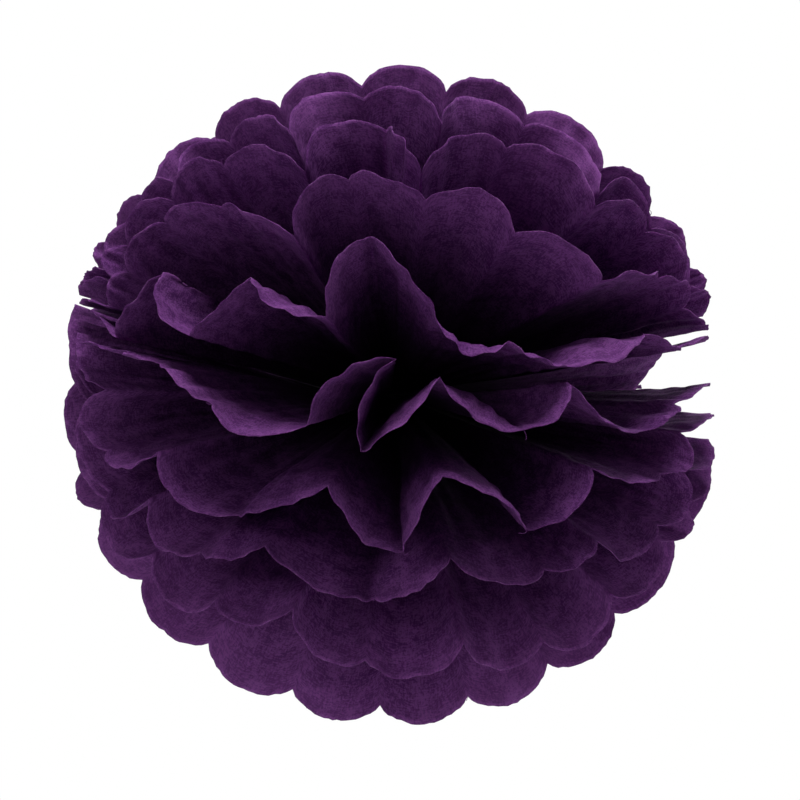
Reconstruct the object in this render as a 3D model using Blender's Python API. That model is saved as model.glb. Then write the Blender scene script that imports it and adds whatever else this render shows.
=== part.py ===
# Tissue paper pom pom: ten pleated sheets with scalloped ends, tied across their middle
# with one wire and pulled open, sheet by sheet, into a ball.
# Metres, +Z up. The origin is the middle of the tie, and the open flower faces -Y.

from math import atan2, cos, degrees, pi, radians, sin, sqrt, tan

import bmesh
import bpy
from mathutils import Matrix, Vector

mm = 0.001

# Paper
pleat_width = 38 * mm         # width of one pleat of the flat, folded strip
notch_reach = 118 * mm        # tie to the notch between two scallops
scallop_depth = 9 * mm        # how far a scallop stands past its notches
scallop_curl = 20             # degrees that a scallop leans out of its panel
least_bow = 2 * mm            # even a fully opened pleat stays a little curved
most_bow = 0.2                # bow of a pleat that is half shut, as a share of its chord
fold_share = 0.35             # share of a fold's angle that a bow may close
paper_wall = 0.3 * mm         # stands in for tissue of about 0.03 mm
sheet_gap = 0.5 * mm          # between neighbouring sheets where the wire holds them
waist_width = 22 * mm         # width of the gathered strip under the wire
waist_height = 3 * mm         # height of the strip that the wire grips

# Wire
wire_diameter = 0.8 * mm
wire_clearance = 0.3 * mm
tail_length = 18 * mm         # the two ends, twisted together
tail_turns = 2.5

# Mesh
columns_per_pleat = 4
shoulder = 0.8                # share of the reach where a scallop starts to curl
wire_sides = 5
tail_steps = 9

# The back half of the ball is the front half mirrored and turned about the flower's axis, by
# back_twist degrees up to one share of the radius, then less and less up to another.
back_twist = 14
twist_edge = 0.82
twist_end = 0.99
# At the seam's right end the back sheets stay inside the outline, which leaves a notch. They
# lean back there by notch_turn degrees, less and less up to a height and up to an angle.
notch_turn = 28
notch_height = 120 * mm
notch_spread = 45

# Fold tips of the five front sheets, innermost first, left to right as seen from the front:
# millimetres across and up, on a ball of rim_reach. A third value is the tip's distance in
# front of the ball's middle plane, for tips close to that plane.
rim_reach = 118
least_depth = 8
upper_rims = [
    [(-114, 29, 24), (-103, 21), (-83, 46), (-75, 22), (-52, 43), (-24, 28), (-8, 58), (15, 30.5),
     (42, 19), (64, 10.5), (93, 23), (105, 16), (115, 19.5, 22)],
    [(-113, 33, 22), (-104, 32), (-99, 46), (-85, 64), (-63, 70), (-36, 58), (-16.5, 80), (12, 71),
     (45, 60), (77, 42), (98, 44), (108, 32, 35), (115, 24, 18)],
    [(-112, 37, 14), (-103, 42), (-99, 56), (-82, 72), (-63, 85), (-33, 83), (-2.5, 98),
     (10.4, 81), (42, 92), (75, 70), (94, 61), (108, 40, 28), (114.5, 29, 14)],
    [(-111, 41, 15), (-105, 46, 26), (-95, 64, 27), (-79, 78, 40), (-61, 94, 34), (-38, 97, 56),
     (-11, 111, 38), (18, 101, 58), (49, 101, 35), (77, 75, 48), (96, 62, 26), (111, 39, 17),
     (115, 32, 9)],
    [(-112.5, 36, 6), (-109, 46, 9), (-103, 58, 8), (-90.5, 76, 20), (-68, 97, 8), (-43, 109, 20),
     (-12, 117, 8), (20, 115, 20), (50.5, 106, 9), (78.5, 85, 24), (96, 67, 9), (107, 48, 8),
     (113.5, 36, 5)],
]
lower_rims = [
    [(-110, 19), (-98, 15.5), (-85, 12), (-67, -4), (-31, -11), (1, 13), (-12, -21), (17, 6),
     (48, -13), (64, 5), (92, -14), (105, -4), (116, 3.5, 24)],
    [(-112, 22, 32), (-110, 2, 48), (-107, -21), (-87, -21), (-57, -44), (-24, -33.5), (3, -57),
     (18, -29.5), (49, -49), (73, -27), (99, -29), (107, -14), (117, -7, 18)],
    [(-114, 25, 26), (-114, 0, 42), (-107, -36), (-90, -38), (-71, -58), (-47, -55.5), (-7, -75.5),
     (21, -59.5), (56, -65), (75, -54), (99, -49), (108, -28), (116, -16, 15)],
    [(-114.5, 27, 20), (-115.5, -3, 34), (-109, -39, 24), (-90, -60, 47), (-66, -76, 60),
     (-37, -79, 79), (-10.5, -98.5, 64), (26, -92, 69), (56, -92, 48), (82, -75, 42),
     (102, -56, 24), (107, -40, 28), (115, -25, 12)],
    [(-114, 32, 8), (-117, 8, 13), (-115, -26, 8), (-110, -44, 18), (-95, -70, 8), (-70, -94, 16),
     (-38, -111, 8), (-5, -117, 18), (28, -114, 9), (58, -101, 20), (84, -83, 8), (105, -52, 11),
     (116, -21, 6)],
]
# Pleats that bow towards the flower's seam instead of away from it: (sheet, pleat).
inward_upper = {(0, 2), (0, 4), (0, 7), (0, 9)}
inward_lower = {(0, 4), (1, 6), (1, 7)}

pleat_count = len(upper_rims[0]) - 1
sheets_per_side = len(upper_rims)
sheet_pitch = sheet_gap + paper_wall
stack_depth = (2 * sheets_per_side - 1) * sheet_pitch + paper_wall


def remove_everything():
    for thing in list(bpy.data.objects):
        bpy.data.objects.remove(thing, do_unlink=True)


def make_material(name, colour, roughness, metallic):
    material = bpy.data.materials.new(name)
    material.use_nodes = True
    shader = material.node_tree.nodes["Principled BSDF"]
    shader.inputs["Base Color"].default_value = (*colour, 1)
    shader.inputs["Roughness"].default_value = roughness
    shader.inputs["Metallic"].default_value = metallic
    material.diffuse_color = (*colour, 1)
    return material


def fold_tip(across, up, depth=None):
    """The tip of a fold line on the ball's front half, from its place in the front view."""
    if depth is None:
        depth = sqrt(max(rim_reach ** 2 - across ** 2 - up ** 2, least_depth ** 2))
    return Vector((across, -depth, up)).normalized() * notch_reach


def to_back(tip):
    """The matching tip on the back half: twisted, mirrored and, near the notch, leant back."""
    from_axis = sqrt(tip.x ** 2 + tip.z ** 2) / notch_reach
    fade = (twist_end - from_axis) / (twist_end - twist_edge)
    tip = Matrix.Rotation(radians(back_twist) * min(1, max(0, fade)), 3, "Y") @ tip
    from_end = degrees(atan2(-tip.y, tip.x))
    nearness = max(0, 1 - abs(tip.z) / notch_height) * max(0, 1 - from_end / notch_spread)
    turned = radians(from_end + notch_turn * nearness)
    level = sqrt(tip.x ** 2 + tip.y ** 2)
    return Vector((level * cos(turned), level * sin(turned), tip.z))


def fold_room(tips, panel, outward):
    """The steepest slope a pleat may take off its chord where it leaves a tight fold."""
    room = pi / 4
    for fold, end, near in ((panel, panel + 1, panel - 1), (panel + 1, panel, panel + 2)):
        if 0 <= near < len(tips):
            chord = tips[end] - tips[fold]
            next_chord = tips[near] - tips[fold]
            if next_chord.dot(outward) > 0:
                room = min(room, fold_share * chord.angle(next_chord))
    return tan(room)


def pleat_shape(tips, panel, outward):
    """Bow of a pleat, from the arc length of its full width, and the lean of its scallop."""
    chord = (tips[panel + 1] - tips[panel]).length
    slack = max(pleat_width - chord, 0)
    wanted = min(max(least_bow, sqrt(0.375 * chord * slack)), most_bow * chord)
    reach = fold_room(tips, panel, outward) * chord / 4
    bow = min(wanted, 0.7 * reach / 0.75)
    lean = min(sin(radians(scallop_curl)), (reach - 0.75 * bow) / (0.87 * scallop_depth))
    return bow, lean


def panel_point(roots, tips, sides, column, level):
    """A point of a half fan: level 0 is at the wire, 1 at the scallops' shoulder, 2 at the rim."""
    panel = min(column // columns_per_pleat, pleat_count - 1)
    share = column / columns_per_pleat - panel
    along = (0, shoulder, 1)[level]
    left = roots[panel].lerp(tips[panel], along)
    right = roots[panel + 1].lerp(tips[panel + 1], along)
    middle_root = roots[panel].lerp(roots[panel + 1], 0.5)
    radial = (tips[panel].lerp(tips[panel + 1], 0.5) - middle_root).normalized()
    chord = tips[panel + 1] - tips[panel]
    outward = radial.cross(chord).normalized() * sides[panel]
    bow, lean = pleat_shape(tips, panel, outward)
    point = left.lerp(right, share) + outward * (bow * 4 * share * (1 - share) * along)
    if level == 2:
        rise = scallop_depth * sqrt(max(0, 1 - (2 * share - 1) ** 2))
        point += (radial * sqrt(1 - lean ** 2) + outward * lean) * rise
    return point


def make_sheet(number, upper_tips, lower_tips, offset, upper_sides, lower_sides):
    """One pleated sheet: a strip under the wire and a fan above and below it.

    The sheets turn outwards over one another, so a sheet nearer the middle turns later."""
    across = [(i / pleat_count - 0.5) * waist_width for i in range(pleat_count + 1)]
    turn = waist_height / 2 + stack_depth / 2 - abs(offset)
    upper_roots = [Vector((x, offset, turn)) for x in across]
    lower_roots = [Vector((x, offset, -turn)) for x in across]
    columns = pleat_count * columns_per_pleat
    rows = 5
    sheet = bmesh.new()
    bmesh.ops.create_grid(sheet, x_segments=columns, y_segments=rows, size=1)
    for vertex in sheet.verts:
        column = round((vertex.co.x + 1) / 2 * columns)
        row = round((vertex.co.y + 1) / 2 * rows)
        if row > rows // 2:
            vertex.co = panel_point(upper_roots, upper_tips, upper_sides, column, row - 3)
        else:
            vertex.co = panel_point(lower_roots, lower_tips, lower_sides, column, 2 - row)
    name = f"tissue_sheet_{number:02d}"
    mesh = bpy.data.meshes.new(name)
    sheet.to_mesh(mesh)
    sheet.free()
    piece = bpy.data.objects.new(name, mesh)
    bpy.context.collection.objects.link(piece)
    mesh.materials.append(make_material(name, (0.055, 0.014, 0.09), 0.85, 0))
    wall = piece.modifiers.new("wall", "SOLIDIFY")
    wall.thickness = paper_wall
    wall.offset = 0
    return piece


def make_sheets():
    """Sheets 1 to 5 open to the front, innermost first, and 6 to 10 to the back."""
    for index in range(sheets_per_side):
        upper = [fold_tip(*tip) for tip in upper_rims[index]]
        lower = [fold_tip(*tip) for tip in lower_rims[index]]
        upper_sides = [-1 if (index, panel) in inward_upper else 1 for panel in range(pleat_count)]
        lower_sides = [1 if (index, panel) in inward_lower else -1 for panel in range(pleat_count)]
        offset = (sheets_per_side - index - 0.5) * sheet_pitch
        make_sheet(index + 1, upper, lower, -offset, upper_sides, lower_sides)
        make_sheet(2 * sheets_per_side - index, [to_back(tip) for tip in upper],
                   [to_back(tip) for tip in lower], offset,
                   [-side for side in upper_sides], [-side for side in lower_sides])


def ring_of_vertices(mesh, centre, first, second, radius):
    """A polygon of the wire's section, in the plane of two directions."""
    return [mesh.verts.new(centre + first * (radius * cos(a)) + second * (radius * sin(a)))
            for a in (2 * pi * i / wire_sides for i in range(wire_sides))]


def join_rings(mesh, one, other):
    for i in range(len(one)):
        j = (i + 1) % len(one)
        mesh.faces.new((one[i], one[j], other[j], other[i]))


def make_object(name, mesh, material):
    bmesh.ops.recalc_face_normals(mesh, faces=mesh.faces)
    data = bpy.data.meshes.new(name)
    mesh.to_mesh(data)
    mesh.free()
    piece = bpy.data.objects.new(name, data)
    bpy.context.collection.objects.link(piece)
    if material:
        data.materials.append(material)
    return piece


def make_wire():
    """The wire's loop around the strip, with its twisted tail towards +X between the fans."""
    radius = wire_diameter / 2
    corner = wire_clearance + radius
    half_width = waist_width / 2
    half_depth = stack_depth / 2
    up = Vector((0, 0, 1))
    loop = bmesh.new()
    rings = []
    for quarter, (sx, sy) in enumerate(((1, 1), (-1, 1), (-1, -1), (1, -1))):
        for step in range(3):
            angle = pi / 2 * (quarter + step / 2)
            out = Vector((cos(angle), sin(angle), 0))
            centre = Vector((sx * half_width, sy * half_depth, 0)) + out * corner
            rings.append(ring_of_vertices(loop, centre, out, up, radius))
    for one, other in zip(rings, rings[1:] + rings[:1]):
        join_rings(loop, one, other)
    piece = make_object("tie_wire", loop, make_material("tie_wire", (0.45, 0.45, 0.47), 0.4, 1))

    tail = bmesh.new()
    rings = []
    for step in range(tail_steps + 1):
        share = step / tail_steps
        angle = 2 * pi * tail_turns * share
        wide = Vector((0, cos(angle), sin(angle)))
        narrow = Vector((0, -sin(angle), cos(angle)))
        centre = Vector((half_width + corner + tail_length * share, 0, 0))
        ring = [tail.verts.new(centre + wide * (wire_diameter * cos(a)) + narrow * (radius * sin(a)))
                for a in (2 * pi * i / wire_sides for i in range(wire_sides))]
        rings.append(ring)
    for one, other in zip(rings, rings[1:]):
        join_rings(tail, one, other)
    tail.faces.new(rings[0])
    tail.faces.new(rings[-1])
    cutter = make_object("tail", tail, None)
    cutter.hide_render = True
    cutter.display_type = "WIRE"
    union = piece.modifiers.new("tail", "BOOLEAN")
    union.operation = "UNION"
    union.solver = "EXACT"
    union.object = cutter
    return piece


remove_everything()
make_sheets()
make_wire()
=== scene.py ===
from math import atan2, cos, degrees, pi, radians, sin, sqrt

import bmesh
import bpy
import numpy as np
from mathutils import Matrix, Vector


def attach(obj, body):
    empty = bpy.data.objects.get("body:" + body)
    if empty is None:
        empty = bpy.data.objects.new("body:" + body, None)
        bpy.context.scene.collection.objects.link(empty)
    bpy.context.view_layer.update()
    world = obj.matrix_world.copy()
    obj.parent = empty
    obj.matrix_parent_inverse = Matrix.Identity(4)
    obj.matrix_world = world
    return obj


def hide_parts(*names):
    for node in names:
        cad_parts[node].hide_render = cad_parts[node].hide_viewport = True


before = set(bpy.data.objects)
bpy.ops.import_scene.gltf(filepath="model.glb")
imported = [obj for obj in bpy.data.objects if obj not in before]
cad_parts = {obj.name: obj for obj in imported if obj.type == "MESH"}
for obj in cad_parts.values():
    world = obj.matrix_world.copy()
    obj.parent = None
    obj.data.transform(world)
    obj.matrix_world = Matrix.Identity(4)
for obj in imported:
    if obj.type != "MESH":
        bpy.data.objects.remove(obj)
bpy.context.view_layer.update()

mm = 0.001

view = {
    "distance": 2.75,                # camera to the middle of the ball
    "frameWidth": 304 * mm,          # what the picture's width covers at the ball
    "across": 2.5 * mm,              # the picture's middle, right of the ball's
    "up": -1.9 * mm,                 # and above it
    "sensorWidth": 36,
    "clipEnd": 50,
}
camera = bpy.data.objects.new("camera", bpy.data.cameras.new("camera"))
bpy.context.collection.objects.link(camera)
camera.data.sensor_width = view["sensorWidth"]
camera.data.lens = view["sensorWidth"] * view["distance"] / view["frameWidth"]
camera.data.clip_end = view["clipEnd"]
camera.location = (view["across"], -view["distance"], view["up"])
camera.rotation_euler = (pi / 2, 0, 0)
bpy.context.scene.camera = camera
print("camera made")

# Sizes of the folded sheets. The solids have the same ones, but for a scallop 0.5 mm less deep.
paper = {
    "pleatWidth": 38 * mm,
    "notchReach": 118 * mm,          # from the tie to the rim's notches
    "scallopDepth": 9.5 * mm,
    "leastBow": 2 * mm,
    "mostBow": 0.2,                  # share of a pleat's width at the rim
    "foldShare": 0.35,               # share of a fold's angle that one pleat's bow may take
    "pitch": 0.8 * mm,               # from sheet to sheet under the wire
    "waistWidth": 22 * mm,
    "waistHeight": 3 * mm,
    "stackDepth": 7.5 * mm,
    "backTwist": 14,                 # degrees that the back half is turned about the flower's axis
    "twistEdge": 0.82,               # share of the reach, seen from the front, where that fades
    "twistEnd": 0.99,                # and where it has faded out
    "notchTurn": 28,                 # degrees that back tips lean back at the seam's right end
    "notchHeight": 120 * mm,         # how far up and down that reaches
    "notchSpread": 45,               # and how many degrees round from the right end
}
# How the tissue is made to look.
tissue = {
    "wall": 0.2 * mm,
    "columnsPerPleat": 20,
    "rowsPerFan": 44,
    "rowCrowding": 0.35,             # rows lie closer together towards the rim
    "scallopRoundness": 0.8,         # 0.5 is half an ellipse, 1 a parabola
    "leftEndShare": 0.7,             # share of a scallop that a sheet's cut sides leave
    "rightEndShare": 0.92,
    "endBow": 0.5,                   # what the end pleats have of a bow
    "endFlutter": 0.3,               # and of the flutter
    "bowRoom": 0.7,                  # share of the room beside a pleat that its bow takes
    "bowSlope": 0.75,
    "lipRoom": 1.2,
    "lipStart": 0.86,                # share of the reach where a petal's lip starts
    "lipEnd": 1.07,
    "lipCurve": 1.5,
    "lip": 3 * mm,                   # how far a rim leans out where no value is given
    "lipSpread": (0.6, 1.4),
    "mostLip": 9 * mm,
    "backLip": 0.5,                  # what the back half has of a front rim's lean
    "lipRoundness": 0.8,
    "lipShortening": 4,              # share of the reach lost per metre of lean
    "flutter": 0.8 * mm,             # unevenness of a petal's lip
    "flutterWaves": (0.9, 0.3),      # its longest and shortest wave, in pleats
    "flutterRoundness": 0.5,
    "creaseDepth": 0.55 * mm,        # soft creases that run from the tie to the rim
    "creaseWaves": (24 * mm, 7 * mm),
    "creaseStretch": 0.12,
    "wrinkleDepth": 0.3 * mm,
    "wrinkleWaves": (22 * mm, 6 * mm),
    "smoothAtTie": 1.6,              # creases reach their full depth at 1 / this of the reach
    "smoothCurve": 1.5,
    "fray": 0.35 * mm,               # unevenness of the cut rim
    "frayWaves": (0.5, 0.07),
    "toneWaves": (2, 0.6),           # patches of paler and darker paper
    "toneScale": (0.7, 0.8),         # their waves per pleat and per reach
    "halfShift": 5,                  # makes the upper half's patches differ from the lower's
    "paleStart": 0.85,               # share of the reach where an outer sheet's rim turns pale
    "paleSpan": 0.2,
    "paleInside": 0.6,               # share of outerTone inside that, and what the rim adds
    "paleAtRim": 0.8,
}

# Fold tips of the front sheets, innermost first, in millimetres across and up, as the front
# view shows them on a ball of rimReach. A third value is the depth in front of the middle.
rimReach = 118
leastDepth = 8
upperRims = [
    [(-114, 29, 24), (-103, 21), (-83, 46), (-75, 22), (-52, 43), (-24, 28), (-8, 58), (15, 30.5),
     (42, 19), (64, 10.5), (93, 23), (105, 16), (115, 19.5, 22)],
    [(-113, 33, 22), (-104, 32), (-99, 46), (-85, 64), (-63, 70), (-36, 58), (-16.5, 80), (12, 71),
     (45, 60), (77, 42), (98, 44), (108, 32, 35), (115, 24, 18)],
    [(-112, 37, 14), (-103, 42), (-99, 56), (-82, 72), (-63, 85), (-33, 83), (-2.5, 98),
     (10.4, 81), (42, 92), (75, 70), (94, 61), (108, 40, 28), (114.5, 29, 14)],
    [(-111, 41, 15), (-105, 46, 26), (-95, 64, 27), (-79, 78, 40), (-61, 94, 34), (-38, 97, 56),
     (-11, 111, 38), (18, 101, 58), (49, 101, 35), (77, 75, 48), (96, 62, 26), (111, 39, 17),
     (115, 32, 9)],
    [(-112.5, 36, 4), (-109, 46, 6), (-103, 58, 4), (-90.5, 76, 18), (-68, 97, 4), (-43, 109, 18),
     (-12, 117, 4), (20, 115, 18), (50.5, 106, 4), (78.5, 85, 20), (96, 67, 5), (107, 48, 5),
     (113.5, 36, 4)],
]
lowerRims = [
    [(-110, 19), (-98, 15.5), (-85, 12), (-67, -4), (-31, -11), (1, 13), (-12, -21), (17, 6),
     (48, -13), (64, 5), (92, -14), (105, -4), (116, 3.5, 24)],
    [(-112, 22, 32), (-110, 2, 48), (-107, -21), (-87, -21), (-57, -44), (-24, -33.5), (3, -57),
     (18, -29.5), (49, -49), (73, -27), (99, -29), (107, -14), (117, -7, 18)],
    [(-114, 25, 26), (-114, 0, 42), (-107, -36), (-90, -38), (-71, -58), (-47, -55.5), (-7, -75.5),
     (21, -59.5), (56, -65), (75, -54), (99, -49), (108, -28), (116, -16, 15)],
    [(-114.5, 27, 20), (-115.5, -3, 34), (-109, -39, 24), (-90, -60, 47), (-66, -76, 60),
     (-37, -79, 79), (-10.5, -98.5, 64), (26, -92, 69), (56, -92, 48), (82, -75, 42),
     (102, -56, 24), (107, -40, 28), (115, -25, 12)],
    [(-114, 32, 5), (-117, 8, 12), (-115, -26, 4), (-110, -44, 16), (-95, -70, 4), (-70, -94, 14),
     (-38, -111, 4), (-5, -117, 16), (28, -114, 5), (58, -101, 18), (84, -83, 4), (105, -52, 9),
     (116, -21, 4)],
]
# How far each pleat bows away from the flower's seam, and how far its rim leans out beyond
# that, in millimetres. Pleats without a value follow their width.
upperBows = [
    [(0.5, 1), (2, 2), (-5, -3.5), (0.5, 0), (1, -6), (2.5, 4.5), (1, 0), (-2, -9), (0.5, -1.5),
     (5, -11), (1, 1), (1, 0)],
    [(1, 1), (1, 2), (2, 2), (1, 1.5), (1, 0), (4, 4.5), (2, 1), (4, 6), (2.5, 2.2), (0.5, 0.5),
     (2, 4), (1, 1)],
    [None, None, (2, 2), (2, 3), (2, 3), (4, 8), (-1, 0), (3, 4.5), (3, 3.5), (2, 2.5), (2, 3),
     None],
    [None, None, None, None, (2, 3), (4, 7.5), (2, 3), (4, 8), (3, 5.5), None, None, None],
    [(1, 0)] * 12,
]
lowerBows = [
    [(0.5, 0), (0.5, 0), (-1, 2), (2, 6), (-6, -2), (4, 2.5), (-1, 4), (-3, 9.3), (3, 2.5), (2, 2),
     (1, 1), (0.5, 0.5)],
    [None, None, (2, 4), (4, 6), (-6, 7.5), (-0.5, 6), (-2.5, 0.5), (-6, 2.5), (3, 3), (1, 3),
     (4, 6), (1, 1)],
    [None, None, None, (4, 7), (-6, 8), (-2.3, 2.8), (-4, 6), (1, 4.8), (-1.5, 0), (2, 6), (3, 8),
     None],
    [None, None, None, None, (1, 1), (2, 3), None, (3, 4.5), None, (2, 3), None, None],
    [(1, 0)] * 12,
]
# Share of a scallop's length that counts as lean where the picture shows a sheet head-on.
headOn = (0.8, 0.6, 0.2, 0, 0)
# The outer sheets look paler, most of all at their rims, where light comes through one ply.
outerTone = (-0.4, -0.3, 0, 1.2, 2.4)
pleatCount = len(upperRims[0]) - 1
sheetsPerSide = len(upperRims)


def foldTip(across, up, depth=None):
    if depth is None:
        depth = sqrt(max(rimReach ** 2 - across ** 2 - up ** 2, leastDepth ** 2))
    return Vector((across, -depth, up)).normalized() * paper["notchReach"]


# Where the back half has the fold tip that the front half has at tip.
def toBack(tip):
    fromAxis = sqrt(tip.x ** 2 + tip.z ** 2) / paper["notchReach"]
    fade = (paper["twistEnd"] - fromAxis) / (paper["twistEnd"] - paper["twistEdge"])
    turn = radians(paper["backTwist"]) * min(1, max(0, fade))
    x = tip.x * cos(turn) + tip.z * sin(turn)
    z = tip.z * cos(turn) - tip.x * sin(turn)
    fromEnd = degrees(atan2(-tip.y, x))
    nearness = max(0, 1 - abs(z) / paper["notchHeight"])
    nearness *= max(0, 1 - fromEnd / paper["notchSpread"])
    turned = radians(fromEnd + paper["notchTurn"] * nearness)
    level = sqrt(x ** 2 + tip.y ** 2)
    return Vector((level * cos(turned), level * sin(turned), z))


# The steepest that a pleat's bow may leave its folds without meeting the pleats beside it.
def foldRoom(tips, panel, outward):
    room = pi / 4
    for fold, end, near in ((panel, panel + 1, panel - 1), (panel + 1, panel, panel + 2)):
        if 0 <= near < len(tips):
            chord = tips[end] - tips[fold]
            nextChord = tips[near] - tips[fold]
            if nextChord.dot(outward) > 0:
                room = min(room, paper["foldShare"] * chord.angle(nextChord))
    return sin(room) / cos(room)


# Smooth unevenness between about -1 and 1: a sum of waves of several lengths.
def waves(x, y, lengths, seed, count=14):
    longest, shortest = lengths
    draw = np.random.default_rng(seed)
    total = np.zeros(np.broadcast(x, y).shape)
    for _ in range(count):
        length = longest * (shortest / longest) ** draw.random()
        heading = draw.random() * 2 * pi
        phase = draw.random() * 2 * pi
        total += np.cos(2 * pi * (x * cos(heading) + y * sin(heading)) / length + phase)
    return total / sqrt(count)


# How far a pleat bows, and how far its rim leans beyond that, from the tables.
def givenBow(given, radial, chord, outward, headOn, atBack):
    bow, seen = (value * mm for value in given)
    away = Vector((-chord.z, 0, chord.x)).normalized()
    away *= 1 if away.dot(outward) > 0 else -1
    overhang = radial.dot(away) * paper["scallopDepth"] * headOn
    lip = min(max(seen - overhang, -tissue["mostLip"]), tissue["mostLip"])
    return bow, lip * (tissue["backLip"] if atBack else 1)


# The same from the pleat's width at its rim. A shallow arc bows by this root of the width
# times the slack of its paper.
def freeBow(tips, panel, chord, outward, draw):
    slack = max(paper["pleatWidth"] - chord.length, 0)
    wanted = max(paper["leastBow"], sqrt(3 / 8 * chord.length * slack))
    wanted = min(wanted, paper["mostBow"] * chord.length)
    room = foldRoom(tips, panel, outward) * chord.length / 4
    bow = min(wanted, tissue["bowRoom"] * room / tissue["bowSlope"])
    left = max(0, room - tissue["bowSlope"] * bow)
    lip = min(tissue["lip"] * draw.uniform(*tissue["lipSpread"]), tissue["lipRoom"] * left)
    if panel in (0, pleatCount - 1):
        return tissue["endBow"] * bow, 0
    return bow, lip


# Points of one half of a sheet, from the wire (row 0) to the scalloped rim (last row), and
# each point's share of the reach.
def makeFan(roots, tips, side, bows, headOn, seed):
    draw = np.random.default_rng(seed)
    perPleat = tissue["columnsPerPleat"]
    rows = tissue["rowsPerFan"]
    columns = pleatCount * perPleat
    share = np.linspace(0, 1, rows + 1)[:, None]
    along = (1 + tissue["rowCrowding"]) * share - tissue["rowCrowding"] * share ** 2
    points = np.zeros((rows + 1, columns + 1, 3))
    frayed = waves(np.arange(columns + 1) / perPleat, np.zeros(columns + 1),
                   tissue["frayWaves"], seed + 1)
    for panel in range(pleatCount):
        last = panel == pleatCount - 1
        atEnd = panel == 0 or last
        local = np.arange(perPleat + (1 if last else 0))
        s = (local / perPleat)[None, :]
        here = slice(panel * perPleat, panel * perPleat + len(local))
        rootA, rootB = np.array(roots[panel]), np.array(roots[panel + 1])
        tipA, tipB = np.array(tips[panel]), np.array(tips[panel + 1])
        middle = (tips[panel] + tips[panel + 1]) / 2 - (roots[panel] + roots[panel + 1]) / 2
        radial = middle.normalized()
        chord = tips[panel + 1] - tips[panel]
        outward = radial.cross(chord).normalized() * side
        if bows[panel]:
            bow, lip = givenBow(bows[panel], radial, chord, outward, headOn, tips[panel].y > 0)
        else:
            bow, lip = freeBow(tips, panel, chord, outward, draw)
        arc = s
        if panel == 0:
            arc = 1 - (1 - s) * tissue["leftEndShare"]
        elif last:
            arc = s * tissue["rightEndShare"]
        rise = (4 * arc * (1 - arc)) ** tissue["scallopRoundness"] * paper["scallopDepth"]
        rise = rise + frayed[here][None, :] * tissue["fray"]
        t = along * (1 + rise / paper["notchReach"])
        base = rootA + (rootB - rootA) * s[..., None]
        tip = tipA + (tipB - tipA) * s[..., None]
        hump = 4 * s * (1 - s)
        near = (t - tissue["lipStart"]) / (tissue["lipEnd"] - tissue["lipStart"])
        near = np.clip(near, 0, 2) ** tissue["lipCurve"]
        flutter = waves(s + panel, t * 2, tissue["flutterWaves"], seed + 4, 6) * near
        flutter = flutter * tissue["flutter"] * (tissue["endFlutter"] if atEnd else 1)
        lift = bow * hump * np.minimum(t, 1)
        lift = lift + lip * hump ** tissue["lipRoundness"] * near
        lift = lift + flutter * hump ** tissue["flutterRoundness"]
        shrink = 1 - abs(lip) * hump * near * tissue["lipShortening"]
        points[:, here] = base + (tip - base) * (t * shrink)[..., None] + np.array(
            outward) * lift[..., None]
    across = np.arange(columns + 1)[None, :] / perPleat * paper["pleatWidth"]
    down = along * paper["notchReach"]
    normal = np.cross(np.gradient(points, axis=1), np.gradient(points, axis=0))
    normal /= np.linalg.norm(normal, axis=2, keepdims=True) + 1e-12
    crease = waves(across, down * tissue["creaseStretch"], tissue["creaseWaves"], seed + 2)
    wrinkle = waves(across, down, tissue["wrinkleWaves"], seed + 3)
    uneven = crease * tissue["creaseDepth"] + wrinkle * tissue["wrinkleDepth"]
    uneven = uneven * np.clip(along * tissue["smoothAtTie"], 0, 1) ** tissue["smoothCurve"]
    return points + normal * uneven[..., None], along * np.ones((1, columns + 1))


# Loose fibres at the tips of folds: sheet, half (1 upper, -1 lower), fold and length in
# millimetres.
threads = [
    (1, -1, 8, 6), (1, -1, 4, 4), (1, -1, 3, 3), (1, 1, 10, 4), (2, -1, 8, 6), (2, -1, 6, 4),
    (2, 1, 10, 5), (3, -1, 6, 4), (3, -1, 4, 3), (3, 1, 4, 4), (3, 1, 10, 5), (4, -1, 9, 4),
    (4, 1, 8, 3), (4, -1, 11, 5), (5, -1, 8, 3), (5, 1, 10, 4),
]
thread = {
    "width": 0.22 * mm,
    "steps": 6,
    "sag": 0.7,                      # how much a fibre hangs down
    "swirl": 0.5,                    # radians that it turns per step
}


# Adds one sheet's loose fibres to its mesh, each a narrow strip that starts in the paper.
def addThreads(mesh, number, points, seed):
    sheet = bmesh.new()
    sheet.from_mesh(mesh)
    reach = sheet.verts.layers.float["reach"]
    draw = np.random.default_rng(seed)
    for owner, half, fold, length in threads:
        if owner != number:
            continue
        start = Vector(points[-1 if half > 0 else 0, fold * tissue["columnsPerPleat"]])
        heading = (start.normalized() + Vector((0, 0, -thread["sag"]))).normalized()
        axis = Vector(draw.normal(size=3)).normalized()
        step = length * mm / thread["steps"]
        place, previous = start - heading * step, None
        for _ in range(thread["steps"] + 1):
            side = heading.cross(Vector((0, -1, 0))).normalized() * thread["width"] / 2
            pair = [sheet.verts.new(place - side), sheet.verts.new(place + side)]
            for vertex in pair:
                vertex[reach] = 1
            if previous:
                sheet.faces.new((previous[0], previous[1], pair[1], pair[0])).smooth = True
            previous = pair
            place = place + heading * step
            heading = (heading + axis.cross(heading) * thread["swirl"]).normalized()
    sheet.to_mesh(mesh)
    sheet.free()


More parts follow.
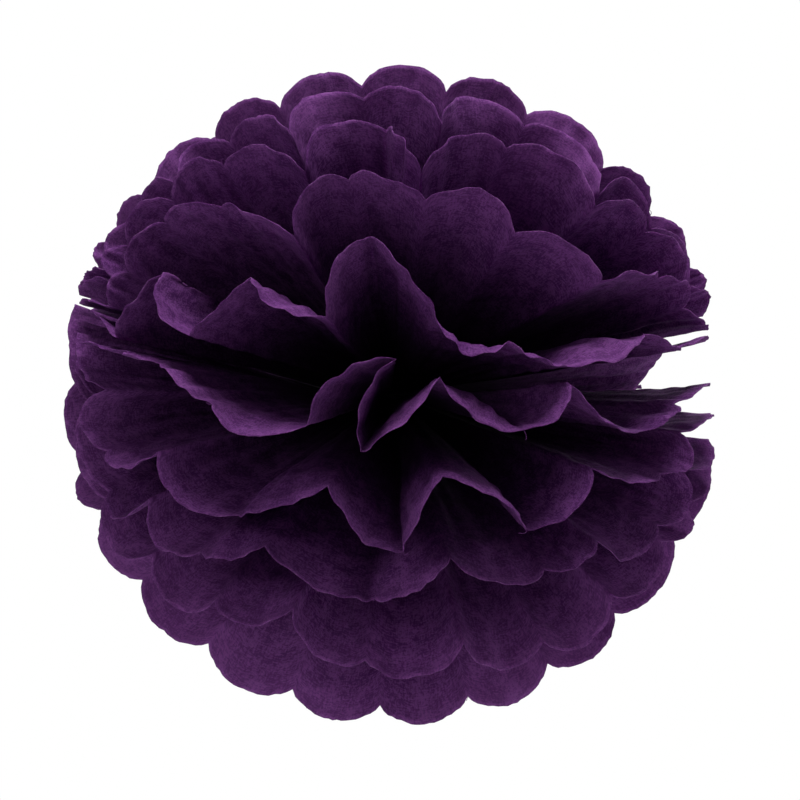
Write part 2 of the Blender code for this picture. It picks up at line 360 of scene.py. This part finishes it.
# One folded sheet: a lower fan, the strip under the wire and an upper fan. The material reads
# each point's share of the reach, its distance to the cut edge and its tone: paler and darker
# patches, plus painted light through one ply of the outer sheets.
def makeSheet(number, upperTips, lowerTips, offset, side, index, seed, material):
    across = [(i / pleatCount - 0.5) * paper["waistWidth"] for i in range(pleatCount + 1)]
    turn = paper["waistHeight"] / 2 + paper["stackDepth"] / 2 - abs(offset)
    upper, upperReach = makeFan([Vector((x, offset, turn)) for x in across], upperTips, side,
                                upperBows[index], headOn[index], seed)
    lower, lowerReach = makeFan([Vector((x, offset, -turn)) for x in across], lowerTips, -side,
                                lowerBows[index], headOn[index], seed + 50)
    points = np.concatenate((lower[::-1], upper))
    reach = np.concatenate((lowerReach[::-1], upperReach))
    rows, columns = points.shape[0] - 1, points.shape[1] - 1
    grid = bmesh.new()
    grid.loops.layers.uv.new("UVMap")
    bmesh.ops.create_grid(grid, x_segments=columns, y_segments=rows, size=1, calc_uvs=True)
    name = f"tissue_{number:02d}"
    mesh = bpy.data.meshes.new(name)
    grid.to_mesh(mesh)
    grid.free()
    flat = np.zeros(len(mesh.vertices) * 3)
    mesh.vertices.foreach_get("co", flat)
    flat = flat.reshape(-1, 3)
    column = np.rint((flat[:, 0] + 1) / 2 * columns).astype(int)
    row = np.rint((flat[:, 1] + 1) / 2 * rows).astype(int)
    mesh.vertices.foreach_set("co", points[row, column].ravel())
    mesh.polygons.foreach_set("use_smooth", np.ones(len(mesh.polygons), dtype=bool))
    toEdge = (1 - reach) * paper["notchReach"]
    folds = np.linspace(0, pleatCount, columns + 1)[None, :]
    half = np.sign(np.arange(rows + 1) - rows / 2)[:, None]
    tone = waves(folds * tissue["toneScale"][0], reach * tissue["toneScale"][1]
                 + half * tissue["halfShift"], tissue["toneWaves"], seed + 9)
    # Painted light through one ply: the outer sheets turn paler, most of all at their rims.
    atRim = np.clip((reach - tissue["paleStart"]) / tissue["paleSpan"], 0, 1)
    tone = tone + outerTone[index] * (tissue["paleInside"] + tissue["paleAtRim"] * atRim)
    for label, values in (("reach", reach), ("toEdge", toEdge), ("tone", tone)):
        layer = mesh.attributes.new(label, "FLOAT", "POINT")
        layer.data.foreach_set("value", values[row, column].astype(np.float32))
    addThreads(mesh, number, points, seed + 12)
    mesh.materials.append(material)
    mesh.update()
    piece = bpy.data.objects.new(name, mesh)
    bpy.context.collection.objects.link(piece)
    wall = piece.modifiers.new("wall", "SOLIDIFY")
    wall.thickness = tissue["wall"]
    wall.offset = 0
    return piece


# A socket of a material's node tree that can be used in a sum or a product.
class Signal:
    def __init__(self, tree, socket):
        self.tree, self.socket = tree, socket

    def combine(self, operation, *others):
        node = self.tree.nodes.new("ShaderNodeMath")
        node.operation = operation
        for place, value in zip(node.inputs, (self, *others)):
            if isinstance(value, Signal):
                self.tree.links.new(value.socket, place)
            else:
                place.default_value = value
        return Signal(self.tree, node.outputs[0])

    def __add__(self, other):
        return self.combine("ADD", other)

    def __mul__(self, other):
        return self.combine("MULTIPLY", other)

    # 0 at low and beyond, 1 at high and beyond, smooth between them.
    def ramp(self, low, high):
        node = self.tree.nodes.new("ShaderNodeMapRange")
        node.interpolation_type = "SMOOTHSTEP"
        self.tree.links.new(self.socket, node.inputs["Value"])
        node.inputs["From Min"].default_value = low
        node.inputs["From Max"].default_value = high
        return Signal(self.tree, node.outputs["Result"])

    # The first colour where this is 0 and the second where it is 1.
    def blend(self, first, second):
        node = self.tree.nodes.new("ShaderNodeMix")
        node.data_type = "RGBA"
        self.tree.links.new(self.socket, node.inputs["Factor"])
        for place, colour in ((node.inputs["A"], first), (node.inputs["B"], second)):
            if isinstance(colour, Signal):
                self.tree.links.new(colour.socket, place)
            else:
                place.default_value = colour
        return Signal(self.tree, node.outputs["Result"])


def attribute(tree, name):
    node = tree.nodes.new("ShaderNodeAttribute")
    node.attribute_name = name
    return Signal(tree, node.outputs["Fac"])


# Noise of about the given grain size, in the coordinates that place holds.
def noise(tree, place, size, detail, stretch=(1, 1, 1), seed=0):
    mapping = tree.nodes.new("ShaderNodeMapping")
    mapping.inputs["Scale"].default_value = [1 / (size * k) for k in stretch]
    mapping.inputs["Location"].default_value = (seed, seed * 2, 0)
    tree.links.new(place, mapping.inputs["Vector"])
    node = tree.nodes.new("ShaderNodeTexNoise")
    node.inputs["Scale"].default_value = 1
    node.inputs["Detail"].default_value = detail
    node.inputs["Roughness"].default_value = 0.6
    tree.links.new(mapping.outputs["Vector"], node.inputs["Vector"])
    return Signal(tree, node.outputs["Fac"])


dye = {
    "hidden": (0.007, 0.0018, 0.01, 1),  # deep between the folds, where no light gets to it
    # The dark dye, and the pale colour that paler dye patches and the painted light on rims and
    # outer sheets move it towards.
    "deep": (0.05, 0.0078, 0.075, 1),
    "paleAndLit": (0.19, 0.06, 0.238, 1),
    # Pale colour of the painted highlight along the cut rim.
    "cutEdge": (0.3, 0.14, 0.35, 1),
    "cloudSize": 8 * mm,             # patches where the dye took more or less
    "fibreSize": 1.9 * mm,
    "fibreStretch": (0.45, 1.6, 1),
    "strandStretch": (1.6, 0.45, 1),
    "grainSize": 0.8 * mm,
    "patches": 0.5,                  # what clouds, fibres and strands add to the mottle each
    "grain": 0.35,
    "palePatches": (0.8, 1.06),      # the mottle's range from the dark to the pale dye
    "patchWear": 0.64,
    # Painted light: the dye pales towards the rims, where light falls on them, and with the tone,
    # which holds paler and darker patches and the painted light through one ply of the outer
    # sheets.
    "litRimReach": (0.7, 1.08),        # shares of the reach from the dark to the paler, lit dye
    "rimLight": 0.24,
    "toneAndLightThrough": 0.09,
    "lightReach": (0.14, 1.02),      # shares of the reach from hidden to fully lit dye
    # Width, mottle range and strength of the painted highlight along the cut rim.
    "edgeWidth": 0.5 * mm,
    "edgePatches": (0.9, 1.15),
    "edgeHighlight": 0.4,
    "roughness": 0.68,
    "patchRoughness": 0.18,
    "bump": 0.3 * mm,
    "bumpStrength": 0.6,
    "specular": 0.08,
    "lightInside": 0.25,
    "lightColour": (1, 0.45, 1),
    "lightDepth": 0.6 * mm,
}


def makeTissueMaterial():
    material = bpy.data.materials.new("tissue")
    material.use_nodes = True
    tree = material.node_tree
    shader = tree.nodes["Principled BSDF"]
    coordinates = tree.nodes.new("ShaderNodeTexCoord")
    sheet = tree.nodes.new("ShaderNodeMapping")
    sheet.inputs["Scale"].default_value = (pleatCount * paper["pleatWidth"],
                                           2 * paper["notchReach"], 1)
    tree.links.new(coordinates.outputs["UV"], sheet.inputs["Vector"])
    place = sheet.outputs["Vector"]
    clouds = noise(tree, place, dye["cloudSize"], 3)
    fibres = noise(tree, place, dye["fibreSize"], 3, dye["fibreStretch"], 3)
    strands = noise(tree, place, dye["fibreSize"], 3, dye["strandStretch"], 7)
    grain = noise(tree, place, dye["grainSize"], 1, seed=11)
    mottle = clouds * dye["patches"] + fibres * dye["patches"] + strands * dye["patches"]
    mottle = mottle + grain * dye["grain"]
    reach = attribute(tree, "reach")
    # Paler dye patches, then painted light that pales the dye towards the rims, and the tone with
    # its random patches and painted light through one ply.
    palenessAndLight = mottle.ramp(*dye["palePatches"]) * dye["patchWear"]
    palenessAndLight = palenessAndLight + reach.ramp(*dye["litRimReach"]) * dye["rimLight"]
    palenessAndLight = palenessAndLight + attribute(tree, "tone") * dye["toneAndLightThrough"]
    colour = palenessAndLight.blend(dye["deep"], dye["paleAndLit"])
    colour = reach.ramp(*dye["lightReach"]).blend(dye["hidden"], colour)
    # Painted highlight along the cut rim, patchy with the mottle.
    edge = attribute(tree, "toEdge").ramp(dye["edgeWidth"], 0)
    edge = edge * mottle.ramp(*dye["edgePatches"]) * dye["edgeHighlight"]
    colour = edge.blend(colour, dye["cutEdge"])
    tree.links.new(colour.socket, shader.inputs["Base Color"])
    roughness = mottle * dye["patchRoughness"] + dye["roughness"]
    tree.links.new(roughness.socket, shader.inputs["Roughness"])
    bump = tree.nodes.new("ShaderNodeBump")
    bump.inputs["Strength"].default_value = dye["bumpStrength"]
    bump.inputs["Distance"].default_value = dye["bump"]
    tree.links.new(mottle.socket, bump.inputs["Height"])
    tree.links.new(bump.outputs["Normal"], shader.inputs["Normal"])
    shader.inputs["Specular IOR Level"].default_value = dye["specular"]
    shader.inputs["Subsurface Weight"].default_value = dye["lightInside"]
    shader.inputs["Subsurface Radius"].default_value = dye["lightColour"]
    shader.inputs["Subsurface Scale"].default_value = dye["lightDepth"]
    return material


wire = {
    "steel": (0.045, 0.045, 0.05, 1),
    "scaleSize": 0.5 * mm,
    "roughness": 0.3,
    "scaleRoughness": 0.5,
}


def makeWireMaterial():
    material = bpy.data.materials.new("tieWire")
    material.use_nodes = True
    tree = material.node_tree
    shader = tree.nodes["Principled BSDF"]
    coordinates = tree.nodes.new("ShaderNodeTexCoord")
    scale = noise(tree, coordinates.outputs["Object"], wire["scaleSize"], 3)
    shader.inputs["Base Color"].default_value = wire["steel"]
    shader.inputs["Metallic"].default_value = 1
    roughness = scale * wire["scaleRoughness"] + wire["roughness"]
    tree.links.new(roughness.socket, shader.inputs["Roughness"])
    return material


def makeSheets():
    material = makeTissueMaterial()
    for index in range(sheetsPerSide):
        upper = [foldTip(*tip) for tip in upperRims[index]]
        lower = [foldTip(*tip) for tip in lowerRims[index]]
        offset = (sheetsPerSide - index - 0.5) * paper["pitch"]
        halves = (
            (index + 1, upper, lower, -offset, 1),
            (2 * sheetsPerSide - index, [toBack(tip) for tip in upper],
             [toBack(tip) for tip in lower], offset, -1),
        )
        for number, upperTips, lowerTips, place, side in halves:
            node = f"tissue_sheet_{number:02d}"
            piece = makeSheet(number, upperTips, lowerTips, place, side, index,
                              1000 + 100 * number, material)
            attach(piece, "root")
            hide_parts(node)
    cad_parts["tie_wire"].data.materials[0] = makeWireMaterial()
    print("tissue sheets made")


makeSheets()

studio = {
    "floorHeight": -0.6,
    "floorSize": 2.2,
    "floorPaint": (0.9, 0.9, 0.9, 1),
    "floorRoughness": 0.9,
    "ambient": (0.15, 0.15, 0.15, 1),    # what the object gets from all round
    "backdrop": (1, 1, 1, 1),            # what the camera sees behind it
    # Name, place, size across and watts.
    "softboxes": [
        ("softbox_top", (0.1, -0.4, 2.0), 1.4, 47),
        ("softbox_left", (-1.6, -1.2, 0.7), 0.8, 8),
        ("softbox_right", (1.8, -0.2, 0.8), 1.0, 4),
        ("softbox_back", (1.0, 1.6, 0.9), 1.4, 26),
    ],
}


def makeStage():
    floorMesh = bpy.data.meshes.new("floor")
    grid = bmesh.new()
    bmesh.ops.create_grid(grid, x_segments=1, y_segments=1, size=studio["floorSize"],
                          matrix=Matrix.Translation((0, 0, studio["floorHeight"])))
    grid.to_mesh(floorMesh)
    grid.free()
    floor = bpy.data.objects.new("floor", floorMesh)
    bpy.context.collection.objects.link(floor)
    material = bpy.data.materials.new("floor")
    material.use_nodes = True
    shader = material.node_tree.nodes["Principled BSDF"]
    shader.inputs["Base Color"].default_value = studio["floorPaint"]
    shader.inputs["Roughness"].default_value = studio["floorRoughness"]
    floorMesh.materials.append(material)

    world = bpy.data.worlds.new("studio")
    bpy.context.scene.world = world
    world.use_nodes = True
    tree = world.node_tree
    background = tree.nodes["Background"]
    path = Signal(tree, tree.nodes.new("ShaderNodeLightPath").outputs["Is Camera Ray"])
    seen = path.blend(studio["ambient"], studio["backdrop"])
    tree.links.new(seen.socket, background.inputs["Color"])

    for name, place, size, power in studio["softboxes"]:
        lamp = bpy.data.lights.new(name, "AREA")
        lamp.shape = "DISK"
        lamp.size = size
        lamp.energy = power
        thing = bpy.data.objects.new(name, lamp)
        thing.location = place
        thing.rotation_euler = (-Vector(place)).to_track_quat("-Z", "Y").to_euler()
        bpy.context.collection.objects.link(thing)
    bpy.context.scene.view_settings.view_transform = "Standard"
    print("stage made")


makeStage()
